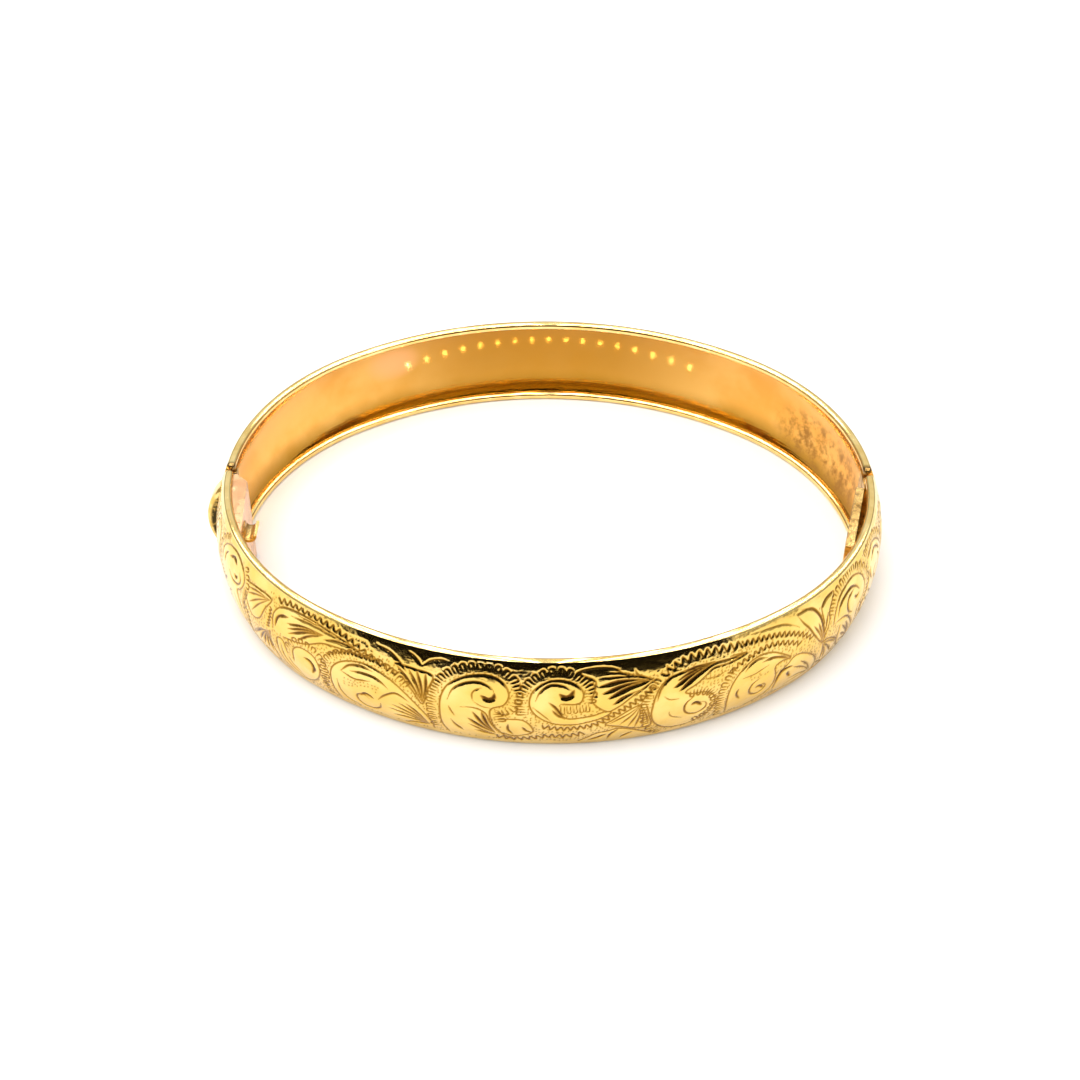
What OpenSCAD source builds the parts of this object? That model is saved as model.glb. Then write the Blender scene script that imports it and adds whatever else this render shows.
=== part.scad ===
// Hinged oval bangle: an engraved front half and a plain rear half, each a domed
// sheet between two rim wires. It lies flat with +Z up. The hinge is at +X, the
// snap clasp at -X, and the engraved half faces -Y.

/* [Band] */
// Half the length of the oval, measured to the middle of the rim wire
half_length = 31.0; // [30.6:0.2:31.4]
// Half the width of the oval, measured to the middle of the rim wire
half_width = 26.6; // [26:0.2:27.4]
// Height of the band from its lower rim to its upper rim
band_height = 10.0; // [9:0.25:12]
// Diameter of the round wire along each rim
rim_wire = 0.9; // [0.7:0.05:1.1]
// How far the domed sheet stands out beyond the middle of the rim wire
dome_rise = 1.5; // [1.3:0.05:1.8]
// Thickness of the domed sheet
sheet = 0.45; // [0.35:0.05:0.55]

/* [Hinge] */
// Radius of the hinge pin
pin_radius = 0.4; // [0.3:0.05:0.45]
// Outer radius of the hinge knuckles
knuckle_radius = 0.85; // [0.8:0.05:0.9]
// Length of each hinge knuckle along the pin
knuckle_length = 1.7; // [1.4:0.1:1.9]
// How far the front half swings open, in degrees
opening_angle = 50; // [30:1:50]
// Length of the stiffening plate inside the front half, beside the hinge
hinge_plate_length = 10.4; // [8:0.2:12]

/* [Clasp] */
// Length of the box that takes the tongue, along the band
box_length = 9.4; // [8:0.2:10]
// How far the box stands inside the rim
box_inset = 1.45; // [1.3:0.05:1.6]
// Height of the thumb-piece across the band
thumb_height = 8.0; // [7:0.1:8]
// Width of the thumb-piece along the band
thumb_width = 2.1; // [1.8:0.1:2.2]
// How far the thumb-piece stands out of the band
thumb_proud = 0.9; // [0.6:0.1:1]

/* [Hidden] */
$fn = 96;

// Band
rim_r = rim_wire / 2;
rim_flat = 0.03;
rim_low = rim_r - rim_flat;
rim_high = band_height - rim_low;
mid_height = band_height / 2;
// The arcs' centres stand on a 3-4-5 triangle, so they meet tangent on exact places
end_centre = 1.5 * (half_length - half_width);
side_centre = end_centre * 4 / 3;
end_radius = half_length - end_centre;
side_radius = half_width + side_centre;
far = 60;
dome_foot = 0.25;
dome_sagitta = dome_rise - dome_foot;
half_chord = mid_height - rim_low;
dome_radius = (half_chord * half_chord + dome_sagitta * dome_sagitta) / (2 * dome_sagitta);
dome_centre = dome_rise - dome_radius;
seam = 0.06;
rim_gap = 0.25;
rim_start = rim_gap + rim_r;
rim_end_x = end_centre + sqrt(end_radius * end_radius - rim_start * rim_start);
inside_radius = end_radius - rim_r;
beyond = 4;
fill_angle = 20;
solder_gap = 0.02;

// Hinge
pin_offset = 0.35;
pin_x = half_length + pin_offset;
run_clearance = 0.03;
knuckle_gap = 0.05;
knuckle_pitch = knuckle_length + knuckle_gap;
barrel_radius = knuckle_radius + 0.1;
barrel_half = 1.5 * knuckle_length + 2 * knuckle_gap;
relief_angle = opening_angle / 2 + 2;
bearer_depth = 1.35;
bearer_inner = half_length - rim_r - 0.1;
plate_low = rim_low + rim_r + solder_gap;
web_inner = half_length - 0.4;
web_depth = 1.05;
hinge_plate = 0.85;
hinge_plate_low = 0.75;

// Clasp
box_wall = 0.42;
box_low = 0.5;
box_x = -(half_length - rim_r - box_inset);
box_start = 0.45;
box_end_x = -(end_centre + sqrt(inside_radius * inside_radius - box_length * box_length));
box_chamfer = 1.2;
mouth_back = 2.6;
mouth_plate = 0.4;
leaf = 0.25;
leaf_outer = pin_x + half_length + 0.4;
spring_gap = 0.4;
tongue_outer = leaf_outer - leaf - spring_gap;
tongue_half = 1.9;
neck_half = 1.2;
slot_clearance = 0.12;
tongue_length = 4.7;
ear_start = mouth_back + mouth_plate + 0.1;
ear_length = 0.9;
thumb_clearance = 0.12;
thumb_back = 0.1;
thumb_apex = half_length + dome_rise + thumb_proud;
thumb_half = thumb_height / 2;
thumb_foot = half_length + dome_centre
    + sqrt(dome_radius * dome_radius - thumb_half * thumb_half) + 0.15;
thumb_sagitta = thumb_apex - thumb_foot;
thumb_radius = (thumb_half * thumb_half + thumb_sagitta * thumb_sagitta) / (2 * thumb_sagitta);
thumb_corner = 0.5;
post_half = 0.9;
post_start = 0.7;
post_length = 1.0;
tab_wall = 0.3;
tab_radius = 0.8;
tab_start = 6.6;
tab_length = 2.3;
tab_level = band_height - 1.3;

// ---------- outlines of the band's section, x outward from the rim wire ----------

module dome_ring(outer, inner) {
    difference() {
        translate([dome_centre, mid_height]) circle(outer, $fn = 240);
        translate([dome_centre, mid_height]) circle(inner, $fn = 240);
    }
}

// The domed sheet, ending against the two rim wires
module sheet_section() {
    difference() {
        intersection() {
            dome_ring(dome_radius, dome_radius - sheet);
            translate([-rim_r, rim_low]) square([dome_rise + beyond, rim_high - rim_low]);
        }
        translate([0, rim_low]) circle(rim_r);
        translate([0, rim_high]) circle(rim_r);
    }
}

// A round wire, rubbed flat where the bangle rests on its side
module rim_section(height) {
    intersection() {
        translate([0, height]) circle(rim_r);
        translate([-rim_wire, 0]) square([2 * rim_wire, band_height]);
    }
}

// ---------- sweeping a section round half of the oval ----------

module full_turn(radius) {
    rotate_extrude($fn = 240) translate([radius, 0]) children();
}

// The half oval is a long arc between two rounder end arcs, all tangent.
// side is -1 for the front half and +1 for the rear half; start is how far the
// sweep stops short of the seam.
module half_oval(side, start) {
    mirror([0, side < 0 ? 1 : 0, 0]) {
        for (flip = [0, 1])
            mirror([flip, 0, 0])
            intersection() {
                translate([end_centre, 0, 0]) full_turn(end_radius) children();
                translate([0, 0, -1])
                    linear_extrude(band_height + 2)
                    polygon([
                        [end_centre + 0.75 * start, start],
                        [end_centre + far, start],
                        [end_centre + far, far],
                        [end_centre + 0.75 * far, far]
                    ]);
            }
        intersection() {
            translate([0, -side_centre, 0]) full_turn(side_radius) children();
            translate([0, -side_centre, -1])
                linear_extrude(band_height + 2)
                polygon([[0, 0], [1.5 * far, 2 * far], [-1.5 * far, 2 * far]]);
        }
    }
}

// A rim wire with its two ends rounded over
module rim(side, height) {
    union() {
        half_oval(side, rim_start) rim_section(height);
        for (end = [-1, 1])
            translate([end * rim_end_x, side * rim_start, height])
            sphere(rim_low);
    }
}

// ---------- shared cutters ----------

// The narrow seam where the two halves meet
module seam_cut() {
    cube([4 * half_length, 2 * seam, 4 * band_height], center = true);
}

// The wedge outside the hinge pin that lets the front half swing
module hinge_relief() {
    reach = beyond * tan(relief_angle);
    translate([pin_x, 0, -1])
        linear_extrude(band_height + 2)
        polygon([[0, 0], [beyond, -reach], [beyond, reach]]);
}

// The round space that the hinge knuckles turn in
module barrel_space() {
    translate([pin_x, 0, mid_height - barrel_half]) cylinder(r = barrel_radius, h = 2 * barrel_half);
}

// An arc about the hinge pin, so that the tongue leaves the box without rubbing.
// start and length are measured along the snap's upper leaf.
module swing_arc(outer, thickness, start, length, half) {
    turn = length / leaf_outer * 180 / PI;
    first = 180 + start / leaf_outer * 180 / PI;
    translate([pin_x, 0, mid_height - half])
        rotate_extrude(angle = turn, start = first, $fn = 240)
        translate([outer - thickness, 0])
        square([thickness, 2 * half]);
}

// The inside of the domed channel at one end of the oval: end is 1 at the hinge
// and -1 at the clasp, and side is as for half_oval
module channel_fill(end, side) {
    mirror([end < 0 ? 1 : 0, 0, 0])
        mirror([0, side < 0 ? 1 : 0, 0])
        translate([end_centre, 0, 0])
        rotate_extrude(angle = fill_angle, $fn = 240)
        translate([end_radius, 0])
        intersection() {
            translate([dome_centre, mid_height])
                circle(dome_radius - sheet - solder_gap, $fn = 240);
            translate([-beyond, 0]) square([2 * beyond, band_height]);
        }
}

// The space that the thumb-piece sits and travels in
module thumb_space() {
    translate([-half_length - beyond, -thumb_back - thumb_width - thumb_clearance,
               mid_height - thumb_half - thumb_clearance])
        cube([beyond + rim_wire, thumb_width + thumb_back + thumb_clearance + seam,
              thumb_height + 2 * thumb_clearance]);
}

// ---------- front half ----------

module front_shell() {
    color("gold")
    difference() {
        half_oval(-1, 0) sheet_section();
        seam_cut();
        hinge_relief();
        barrel_space();
        thumb_space();
    }
}

module front_top_rim() {
    color("khaki") rim(-1, rim_high);
}

module front_bottom_rim() {
    color("khaki") rim(-1, rim_low);
}

// A straight stiffening bar across the inside of the channel, next to the hinge
module front_hinge_plate() {
    start_x = bearer_inner - hinge_plate / 2 + solder_gap;
    start_y = -bearer_depth - seam - solder_gap;
    end_y = -hinge_plate_length;
    end_x = end_centre + sqrt(inside_radius * inside_radius - end_y * end_y) - hinge_plate / 2;
    run = [end_x - start_x, end_y - start_y];
    color("orange")
    intersection() {
        translate([start_x, start_y, hinge_plate_low])
            rotate([0, 0, atan2(run[1], run[0])])
            translate([0, -hinge_plate / 2, 0])
            cube([norm(run), hinge_plate, band_height - 2 * hinge_plate_low]);
        translate([end_centre, 0, 0]) cylinder(r = inside_radius - solder_gap, h = band_height, $fn = 240);
    }
}

// A block that closes the end of the channel and carries the knuckles
module hinge_bearer(side) {
    start_y = side < 0 ? -seam - bearer_depth : seam;
    difference() {
        intersection() {
            translate([bearer_inner, start_y, plate_low])
                cube([beyond, bearer_depth, band_height - 2 * plate_low]);
            channel_fill(1, side);
        }
        hinge_relief();
        barrel_space();
    }
}

module knuckle(side, level, bore) {
    base = mid_height + level * knuckle_pitch - knuckle_length / 2;
    difference() {
        union() {
            translate([pin_x, 0, base]) cylinder(r = knuckle_radius, h = knuckle_length);
            translate([web_inner, side < 0 ? -web_depth : 0, base])
                cube([pin_x - web_inner, web_depth, knuckle_length]);
        }
        translate([pin_x, 0, base - 1]) cylinder(r = bore, h = knuckle_length + 2);
    }
}

// The slot in a bearer that a knuckle's web is soldered into
module web_space(side, level) {
    base = mid_height + level * knuckle_pitch - knuckle_length / 2;
    translate([web_inner, side < 0 ? -web_depth : 0, base])
        cube([pin_x - web_inner, web_depth, knuckle_length]);
}

module front_hinge_bearer() {
    color("goldenrod")
    difference() {
        hinge_bearer(-1);
        web_space(-1, -1);
        web_space(-1, 1);
    }
}

module front_knuckles() {
    color("khaki")
    for (level = [-1, 1]) knuckle(-1, level, pin_radius + run_clearance);
}

// Plan of the clasp box: a flat inner wall with a chamfered corner at the clasp,
// running out to meet the rim at its far end
module box_plan() {
    polygon([
        [-half_length - beyond, -box_start],
        [box_x - box_chamfer, -box_start],
        [box_x, -box_start - box_chamfer],
        [box_end_x, -box_length],
        [-half_length - beyond, -box_length]
    ]);
}

// A folded sheet box, open to the inside of the band
module clasp_box() {
    color("rosybrown")
    difference() {
        translate([0, 0, box_low])
            linear_extrude(band_height - 2 * box_low)
            intersection() {
                box_plan();
                translate([-end_centre, 0]) circle(inside_radius - solder_gap, $fn = 240);
            }
        translate([0, 0, box_low + box_wall])
            linear_extrude(band_height - 2 * (box_low + box_wall))
            translate([-box_wall, -box_wall / 2])
            box_plan();
        translate([-half_length - beyond, -box_start - box_wall, box_low + box_wall])
            cube([2 * beyond, box_start + box_wall, band_height - 2 * (box_low + box_wall)]);
    }
}

// The slotted plate that the spring's ears catch behind
module clasp_mouth_plate() {
    low = box_low + box_wall + solder_gap;
    inner_x = box_x - box_wall - solder_gap;
    color("goldenrod")
    difference() {
        intersection() {
            translate([-half_length - beyond, -mouth_back - mouth_plate, low])
                cube([half_length + beyond + inner_x, mouth_plate, band_height - 2 * low]);
            channel_fill(-1, -1);
        }
        swing_arc(leaf_outer + slot_clearance, leaf + 2 * slot_clearance,
                  mouth_back - 1, mouth_plate + 2, neck_half + slot_clearance);
        swing_arc(tongue_outer + spring_gap, spring_gap + leaf + slot_clearance,
                  mouth_back - 1, mouth_plate + 2, tongue_half + slot_clearance);
    }
}

// A strip curled up into a lip near the end of the box, to pull the clasp apart by
module pull_tab() {
    wall_x = box_x + (box_end_x - box_x) * tab_start / box_length;
    color("khaki")
    difference() {
        translate([wall_x + tab_radius - tab_wall / 2, -tab_start, tab_level])
            rotate([90, 0, 0])
            linear_extrude(tab_length)
            difference() {
                circle(tab_radius);
                circle(tab_radius - tab_wall);
                translate([-2 * tab_radius, 0]) square([4 * tab_radius, 2 * tab_radius]);
            }
        translate([solder_gap, 0, 0]) linear_extrude(band_height) box_plan();
    }
}

// ---------- rear half ----------

module rear_shell() {
    color("gold")
    difference() {
        half_oval(1, 0) sheet_section();
        seam_cut();
        hinge_relief();
        barrel_space();
    }
}

module rear_top_rim() {
    color("khaki") rim(1, rim_high);
}

module rear_bottom_rim() {
    color("khaki") rim(1, rim_low);
}

module rear_hinge_bearer() {
    color("goldenrod")
    difference() {
        hinge_bearer(1);
        web_space(1, 0);
    }
}

module rear_knuckle() {
    color("khaki") knuckle(1, 0, pin_radius);
}

module hinge_pin() {
    color("gold")
    translate([pin_x, 0, mid_height - 1.5 * knuckle_length - knuckle_gap])
        cylinder(r = pin_radius, h = 3 * knuckle_length + 2 * knuckle_gap);
}

// A plate across the end of the channel, which the tongue is soldered through
module rear_end_plate() {
    color("goldenrod")
    difference() {
        intersection() {
            translate([-half_length - beyond, rim_gap + seam, plate_low])
                cube([beyond + half_length - bearer_inner, rim_wire, band_height - 2 * plate_low]);
            channel_fill(-1, 1);
        }
        swing_arc(tongue_outer, leaf, -beyond, 2 * beyond, tongue_half);
    }
}

// The stiff lower leaf of the snap
module tongue() {
    color("khaki")
    swing_arc(tongue_outer, leaf, -rim_gap - rim_wire, tongue_length + rim_gap + rim_wire, tongue_half);
}

// The springy upper leaf: it folds back from the tongue's tip, widens into two
// ears behind the mouth plate, and reaches under the thumb-piece
module snap_spring() {
    color("khaki")
    union() {
        swing_arc(leaf_outer, leaf, post_start, tongue_length + leaf - post_start, neck_half);
        swing_arc(leaf_outer, leaf, ear_start, ear_length, tongue_half);
        swing_arc(leaf_outer, leaf_outer - tongue_outer + leaf, tongue_length + solder_gap,
                  leaf, neck_half);
    }
}

// A crescent that the thumb presses, with a post down to the spring
module thumb_piece() {
    post_x = pin_x - leaf_outer - solder_gap;
    color("gold")
    union() {
        intersection() {
            translate([-thumb_apex + thumb_radius, -thumb_back, mid_height])
                rotate([90, 0, 0])
                rotate_extrude()
                difference() {
                    square([thumb_radius, thumb_width]);
                    for (edge = [0, 1])
                        translate([thumb_radius - thumb_corner,
                                   edge * thumb_width + (1 - 2 * edge) * thumb_corner])
                            difference() {
                                translate([0, edge * 2 - 2])
                                    square([thumb_corner * 2, 2]);
                                circle(thumb_corner);
                            }
                }
            difference() {
                translate([-half_length - beyond, -beyond, mid_height - thumb_half])
                    cube([beyond + rim_r, beyond, thumb_height]);
                translate([-half_length - dome_centre, beyond, mid_height])
                    rotate([90, 0, 0])
                    cylinder(r = dome_radius - sheet, h = 3 * beyond, $fn = 240);
            }
        }
        translate([-half_length - dome_rise, -post_start - post_length, mid_height - post_half])
            cube([post_x + half_length + dome_rise, post_length, 2 * post_half]);
    }
}

front_shell();
front_top_rim();
front_bottom_rim();
front_hinge_plate();
front_hinge_bearer();
front_knuckles();
clasp_box();
clasp_mouth_plate();
pull_tab();
rear_shell();
rear_top_rim();
rear_bottom_rim();
rear_hinge_bearer();
rear_knuckle();
hinge_pin();
rear_end_plate();
tongue();
snap_spring();
thumb_piece();
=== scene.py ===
# A hinged oval bangle in yellow gold: the front half is hand engraved, the rear half is plain.
# The script follows the bangle as it is put together, in metres, with shapes worked out in millimetres.
from math import atan2, pi, radians, sin, sqrt

import bpy
import numpy as np
from mathutils import Matrix, Vector


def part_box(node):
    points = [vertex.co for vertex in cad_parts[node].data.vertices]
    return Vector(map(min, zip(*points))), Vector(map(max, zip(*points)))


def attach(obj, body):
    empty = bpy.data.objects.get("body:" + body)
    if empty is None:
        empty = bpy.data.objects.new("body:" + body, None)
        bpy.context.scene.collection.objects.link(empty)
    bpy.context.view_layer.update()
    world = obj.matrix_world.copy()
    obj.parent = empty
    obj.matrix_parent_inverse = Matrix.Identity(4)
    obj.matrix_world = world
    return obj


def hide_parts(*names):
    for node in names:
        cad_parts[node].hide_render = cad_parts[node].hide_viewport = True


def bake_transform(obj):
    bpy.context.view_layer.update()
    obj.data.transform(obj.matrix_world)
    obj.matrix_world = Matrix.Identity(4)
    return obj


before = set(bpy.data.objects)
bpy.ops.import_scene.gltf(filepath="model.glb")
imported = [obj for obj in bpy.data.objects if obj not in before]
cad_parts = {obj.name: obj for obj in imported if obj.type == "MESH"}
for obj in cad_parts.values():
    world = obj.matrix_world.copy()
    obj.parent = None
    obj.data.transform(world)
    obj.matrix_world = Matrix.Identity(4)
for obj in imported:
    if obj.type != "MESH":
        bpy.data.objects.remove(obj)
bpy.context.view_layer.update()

scene = bpy.context.scene
scene.view_settings.view_transform = "Standard"
MM = 0.001

# ---------- Camera ----------
# A camera with an ordinary lens, clamped to a stand. It looks down over the engraved front half
# to the inside of the plain rear half.
CAMERA_PLACE = (-0.86 * MM, -128.6 * MM, 107.7 * MM)
CAMERA_DIP = radians(39.65)
CAMERA_ROLL = radians(0.45)
camera_data = bpy.data.cameras.new("camera")
camera_data.lens = 55.5
camera_data.sensor_width = 36
camera_data.clip_start = 0.005
camera = bpy.data.objects.new("camera", camera_data)
scene.collection.objects.link(camera)
camera.matrix_world = (Matrix.Translation(CAMERA_PLACE)
                       @ Matrix.Rotation(pi / 2 - CAMERA_DIP, 4, "X")
                       @ Matrix.Rotation(CAMERA_ROLL, 4, "Z"))
scene.camera = camera

# ---------- Floor ----------
# A sheet of matt white card laid flat on a table, wide enough to fill the camera's view. The bangle
# rests on it, on the flats that are rubbed on its lower rim wires.
FLOOR_HALF = 900


class Wire:
    """An output socket of a node tree. Sums on wires add the Math nodes for them."""

    def __init__(self, tree, socket=None):
        self.tree = tree
        self.socket = socket

    def node(self, kind, settings, inputs, out=0):
        """Any node: its settings are set first, then the values or links of its sockets."""
        made = self.tree.nodes.new(kind)
        for name, value in settings.items():
            if name == "stops":
                ramp = made.color_ramp.elements
                while len(ramp) < len(value):
                    ramp.new(0.5)
                for stop, (place, colour) in zip(ramp, value):
                    stop.position = place
                    stop.color = (*colour, 1)
            else:
                setattr(made, name, value)
        for name, value in inputs.items():
            if isinstance(value, Wire):
                self.tree.links.new(value.socket, made.inputs[name])
            else:
                made.inputs[name].default_value = value
        return Wire(self.tree, made.outputs[out])

    def maths(self, operation, *values):
        return self.node("ShaderNodeMath", {"operation": operation}, dict(enumerate(values)))

    def __add__(self, other):
        return self.maths("ADD", self, other)

    def __sub__(self, other):
        return self.maths("SUBTRACT", self, other)

    def __mul__(self, other):
        return self.maths("MULTIPLY", self, other)

    def __rsub__(self, other):
        return self.maths("SUBTRACT", other, self)

    def __pow__(self, other):
        return self.maths("POWER", self, other)

    __radd__ = __add__
    __rmul__ = __mul__

    def within(self, low, high):
        """0 below low and 1 above high, with a soft step between."""
        return self.node("ShaderNodeMapRange", {"interpolation_type": "SMOOTHSTEP"},
                         {"Value": self, "From Min": low, "From Max": high})

    def mix(self, first, second):
        """The colour first where this wire is 0, and second where it is 1."""
        return self.node("ShaderNodeMix", {"data_type": "RGBA"},
                         {"Factor": self, 6: first, 7: second}, out=2)


def new_material(name):
    """An empty material, the wire that its nodes start from, and its surface shader."""
    material = bpy.data.materials.new(name)
    material.use_nodes = True
    tree = material.node_tree
    shader = tree.nodes["Principled BSDF"]
    return material, Wire(tree), shader


def join(wire, shader, name):
    wire.tree.links.new(wire.socket, shader.inputs[name])


def noise(start, scale, detail=3.0, stretch=(1, 1, 1), rough=0.5):
    """Noise in the piece's own millimetres; a stretch under 1 draws it out along that axis."""
    place = start.node("ShaderNodeTexCoord", {}, {}, out=3)
    laid = start.node("ShaderNodeMapping", {},
                      {"Vector": place, "Scale": tuple(1000 * s for s in stretch)})
    return start.node("ShaderNodeTexNoise", {},
                      {"Vector": laid, "Scale": scale, "Detail": detail, "Roughness": rough})


def new_piece(name, verts, faces, material, smooth=True):
    """A mesh piece from points in millimetres."""
    mesh = bpy.data.meshes.new(name)
    mesh.from_pydata([tuple(c * MM for c in v) for v in verts], [], faces)
    mesh.materials.append(material)
    if smooth:
        mesh.shade_smooth()
    piece = bpy.data.objects.new(name, mesh)
    scene.collection.objects.link(piece)
    return piece


floor_finish, start, shader = new_material("white_card")
card_tone = noise(start, 0.03).within(0.2, 0.8).mix((0.90, 0.90, 0.90, 1), (0.94, 0.94, 0.94, 1))
join(card_tone, shader, "Base Color")
shader.inputs["Roughness"].default_value = 0.9
corners = [(FLOOR_HALF * side, FLOOR_HALF * end, 0)
           for side, end in ((-1, -1), (1, -1), (1, 1), (-1, 1))]
floor = new_piece("floor", corners, [(0, 1, 2, 3)], floor_finish)

# ---------- Light ----------
# A white light tent. It has a dark opening on the near side, a cloth roof with lamp tubes under it,
# a row of small lamps on the floor, and a soft lamp high up on the near left.
world = bpy.data.worlds.new("light_tent")
scene.world = world
world.use_nodes = True
sky = Wire(world.node_tree)
direction = sky.node("ShaderNodeTexCoord", {}, {}, out=0)
height = sky.node("ShaderNodeSeparateXYZ", {}, {"Vector": direction}, out=2)
tent_tone = height.within(0.25, 0.85).mix((0.35, 0.35, 0.35, 1), (1.0, 1.0, 1.0, 1))
back = world.node_tree.nodes["Background"]
sky.tree.links.new(tent_tone.socket, back.inputs["Color"])
back.inputs["Strength"].default_value = 1.35


def glossy_only(piece):
    """Stands in the studio where only the polished metal sees it."""
    piece.visible_camera = False
    piece.visible_diffuse = False
    piece.visible_shadow = False


OPENING_FAR = 72
OPENING_HALF = 84
OPENING_SHIFT = -8
OPENING_FOOT = 0.5
OPENING_TOP = 72
black_finish, start, shader = new_material("dark_opening")
shader.inputs["Base Color"].default_value = (0.004, 0.003, 0.002, 1)
shader.inputs["Roughness"].default_value = 1.0
shader.inputs["Specular IOR Level"].default_value = 0.0
corners = [(OPENING_SHIFT + OPENING_HALF * side, -OPENING_FAR, level)
           for side, level in ((-1, OPENING_FOOT), (1, OPENING_FOOT), (1, OPENING_TOP), (-1, OPENING_TOP))]
glossy_only(new_piece("opening", corners, [(0, 1, 2, 3)], black_finish))


def glowing(name, colour, strength):
    """A finish that only gives off light."""
    finish, start, shader = new_material(name)
    shader.inputs["Base Color"].default_value = (0, 0, 0, 1)
    shader.inputs["Emission Color"].default_value = (*colour, 1)
    shader.inputs["Emission Strength"].default_value = strength
    return finish


lamp_finish = glowing("strip_lamp", (1.0, 0.97, 0.9), 24)


def lamp_row(name, count, pitch, wide, deep, y, z, bow=0.0):
    """Flat lamps side by side along X; the ends of the row are set back by bow."""
    verts, faces = [], []
    for k in range(count):
        part = 2 * k / (count - 1) - 1
        x = part * pitch * (count - 1) / 2
        middle = y - bow * part ** 2
        base = len(verts)
        verts += [(x - wide / 2, middle - deep / 2, z), (x - wide / 2, middle + deep / 2, z),
                  (x + wide / 2, middle + deep / 2, z), (x + wide / 2, middle - deep / 2, z)]
        faces.append((base, base + 1, base + 2, base + 3))
    glossy_only(new_piece(name, verts, faces, lamp_finish, smooth=False))


lamp_row("roof_tubes", count=24, pitch=15.0, wide=2.2, deep=260, y=10, z=150)
lamp_row("floor_lamps", count=17, pitch=1.36, wide=0.2, deep=0.2, y=22.9, z=0.2, bow=3.0)

CLOTH_HALF = 260
CLOTH_FRONT = -190
CLOTH_BACK = 240
CLOTH_HEIGHT = 152
corners = [(CLOTH_HALF * side, end, CLOTH_HEIGHT)
           for side, end in ((-1, CLOTH_FRONT), (1, CLOTH_FRONT), (1, CLOTH_BACK), (-1, CLOTH_BACK))]
glossy_only(new_piece("roof_cloth", corners, [(0, 1, 2, 3)],
                      glowing("roof_cloth", (1.0, 0.98, 0.94), 0.85), smooth=False))

key_data = bpy.data.lights.new("key", "AREA")
key_data.energy = 1.2
key_data.size = 0.35
key = bpy.data.objects.new("key", key_data)
key.location = (-0.12, -0.10, 0.42)
key.rotation_euler = (Vector((0, 0, 0)) - key.location).to_track_quat("-Z", "Y").to_euler()
key.visible_camera = False
scene.collection.objects.link(key)

# ---------- Front sheet ----------
# The front of the band: gold sheet domed in a die, bent to half an oval and hand engraved with
# scrolls and leaves. Its long edges are soldered between two rim wires.
RIM_RADIUS = 0.45
SHEET = 0.45
DOME_RISE = 1.5
SEAM = 0.06

rim_floor, rim_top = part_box("front_top_rim")
BAND_HEIGHT = rim_top.z / MM
rim_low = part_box("front_bottom_rim")[1].z / MM - RIM_RADIUS
mid_height = BAND_HEIGHT / 2
half_width = -rim_floor.y / MM - RIM_RADIUS
half_length = rim_top.x / MM - RIM_RADIUS
pin_x = sum(corner.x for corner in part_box("hinge_pin")) / 2 / MM

# The oval is a long arc between two rounder end arcs that meet it on a 3-4-5 triangle
end_centre = 1.5 * (half_length - half_width)
side_centre = end_centre * 4 / 3
end_radius = half_length - end_centre
side_radius = half_width + side_centre
end_turn = atan2(4, 3)
side_run = side_radius * (pi / 2 - end_turn)
half_run = side_run + end_radius * end_turn

# The dome runs flush into the two rim wires, where its seams were filled and polished away
half_chord = mid_height - rim_low
dome_turn = 2 * atan2(DOME_RISE - RIM_RADIUS, half_chord)
dome_radius = half_chord / sin(dome_turn) + RIM_RADIUS
dome_centre = DOME_RISE - dome_radius
dome_run = 2 * dome_radius * dome_turn


def oval(run, side):
    """Points of the rim's middle line and the outward normals there. run goes along the line from the
    middle of one half, towards the hinge; side is -1 for the front half and 1 for the rear half."""
    away = np.abs(run)
    hand = np.where(run < 0, -1.0, 1.0)
    on_side = away < side_run
    turn = np.where(on_side, pi / 2 - away / side_radius, end_turn - (away - side_run) / end_radius)
    radius = np.where(on_side, side_radius, end_radius)
    x = np.where(on_side, 0, end_centre) + radius * np.cos(turn)
    y = np.where(on_side, -side_centre, 0) + radius * np.sin(turn)
    return hand * x, side * y, hand * np.cos(turn), side * np.sin(turn)


def run_at(depth, offset):
    """How far along the oval a point lies whose distance from the seam is depth, out by offset."""
    return half_run - end_radius * np.arcsin(depth / (end_radius + offset))


RELIEF_LEAN = radians(27)
BARREL_RADIUS = 0.95
BARREL_HALF = 2.65


def hinge_end(offset, height):
    """The distance from the seam at which a half's sheet stops, by the hinge."""
    out = half_length + offset - pin_x
    stop = np.maximum(SEAM, np.tan(RELIEF_LEAN) * out)
    barrel = np.sqrt(np.maximum(BARREL_RADIUS ** 2 - out ** 2, 0))
    return np.where(np.abs(height - mid_height) < BARREL_HALF, np.maximum(stop, barrel), stop)


PRESS_GAP = 0.12
press_low, press_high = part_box("thumb_piece")
press_reach = -press_low.y / MM + PRESS_GAP


def front_clasp_end(offset, height):
    """The front sheet stops short by the clasp where the thumb-piece comes through."""
    inside = (height > press_low.z / MM - PRESS_GAP) & (height < press_high.z / MM + PRESS_GAP)
    return np.where(inside, press_reach, SEAM)


def rear_clasp_end(offset, height):
    return np.full(np.shape(height), SEAM)


END_STRETCH = 6.0


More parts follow.
